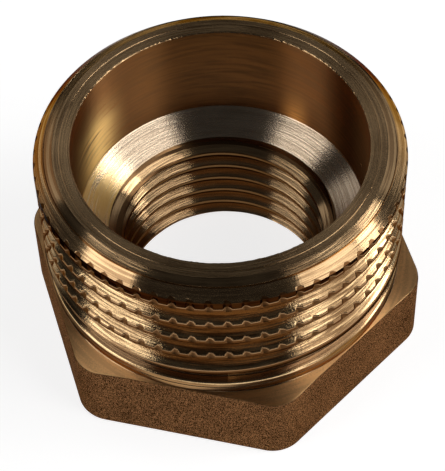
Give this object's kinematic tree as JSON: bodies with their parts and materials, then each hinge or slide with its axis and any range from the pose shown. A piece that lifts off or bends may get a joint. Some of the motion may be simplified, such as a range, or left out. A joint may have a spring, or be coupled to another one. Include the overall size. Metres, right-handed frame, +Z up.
{
  "type": "reducing bush",
  "caption": "Brass reducing bush: a male pipe thread on a hexagon foot, with a counterbore and cone leading to a smaller female pipe thread.",
  "frame": {"origin": "on the bush's axis, at the foot of the hexagon that it stands on", "axes": "+Z up the axis towards the male thread's open end, +X through a corner of the hexagon, -Y through a flat"},
  "size_m": [0.0372, 0.0332, 0.023],
  "materials": {
    "bush_brass": "turned threads and bore, with a dull blasted skin on the hexagon"
  },
  "bodies": {
    "root": {"reducing_bush": "bush_brass"}
  },
  "joints": []
}
